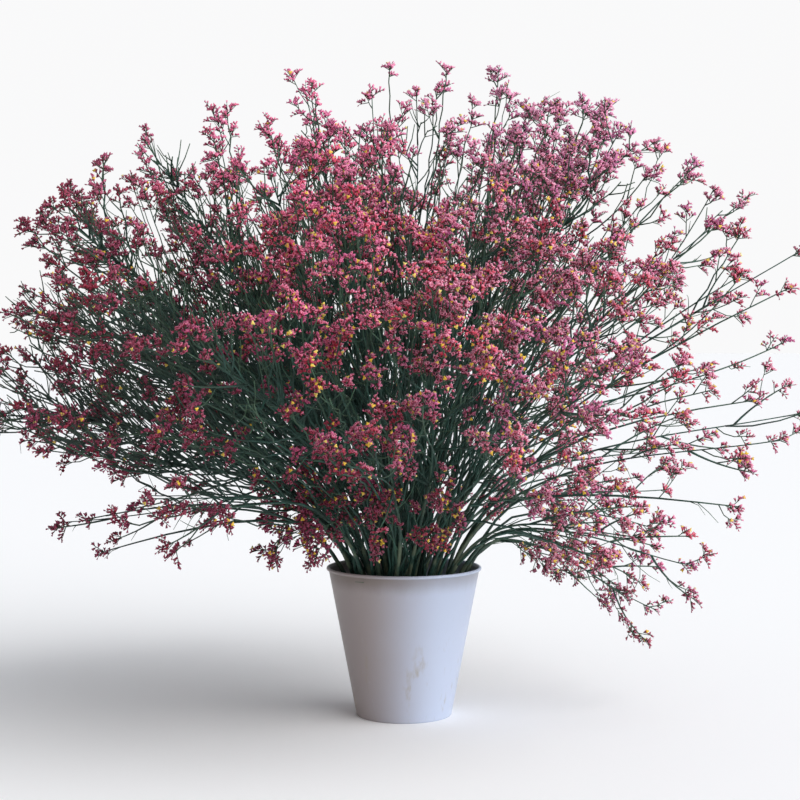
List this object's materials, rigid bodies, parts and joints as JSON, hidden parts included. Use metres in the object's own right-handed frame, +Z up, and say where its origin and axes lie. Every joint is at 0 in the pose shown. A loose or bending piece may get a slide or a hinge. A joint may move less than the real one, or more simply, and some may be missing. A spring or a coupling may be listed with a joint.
{
  "type": "dried statice bunch",
  "caption": "Dome-shaped bunch of dried statice, fine branching stems tipped with small pink and yellow flowers, standing in a tapered bucket.",
  "frame": {"origin": "centre of the bucket's foot, on the surface that it stands on", "axes": "+Z up along the bucket's axis; +X to the right and -Y towards the viewer in the source view; the bunch is widest along X"},
  "size_m": [1.0211, 0.8587, 0.8042],
  "materials": {
    "bucket_plastic": "smooth off-white plastic with a soft sheen, faintly scuffed",
    "stem_green": "matt, wiry dark green stems",
    "calyx_pink": "dry papery pink flower cups",
    "corolla_yellow": "small dry yellow petals"
  },
  "bodies": {
    "root": {"bucket": "bucket_plastic", "statice_stem_01": "stem_green", "statice_stem_02": "stem_green", "statice_stem_03": "stem_green", "statice_stem_04": "stem_green", "statice_stem_05": "stem_green", "statice_stem_06": "stem_green", "statice_stem_07": "stem_green", "statice_stem_08": "stem_green", "statice_stem_09": "stem_green", "statice_stem_10": "stem_green", "statice_stem_11": "stem_green", "statice_stem_12": "stem_green", "statice_stem_13": "stem_green", "statice_stem_14": "stem_green", "statice_stem_15": "stem_green", "statice_stem_16": "stem_green", "statice_stem_17": "stem_green", "statice_stem_18": "stem_green", "statice_stem_19": "stem_green", "statice_stem_20": "stem_green", "statice_stem_21": "stem_green", "statice_stem_22": "stem_green", "statice_stem_23": "stem_green", "statice_stem_24": "stem_green", "statice_stem_25": "stem_green", "statice_stem_26": "stem_green", "statice_stem_27": "stem_green", "statice_stem_28": "stem_green", "statice_stem_29": "stem_green", "statice_stem_30": "stem_green", "statice_stem_31": "stem_green", "statice_stem_32": "stem_green", "statice_stem_33": "stem_green", "statice_stem_34": "stem_green", "statice_stem_35": "stem_green", "statice_stem_36": "stem_green", "statice_stem_37": "stem_green", "statice_stem_38": "stem_green", "statice_stem_39": "stem_green", "statice_stem_40": "stem_green", "statice_stem_41": "stem_green", "statice_stem_42": "stem_green", "statice_stem_43": "stem_green", "statice_stem_44": "stem_green", "statice_stem_45": "stem_green", "statice_stem_46": "stem_green"}
  },
  "joints": []
}
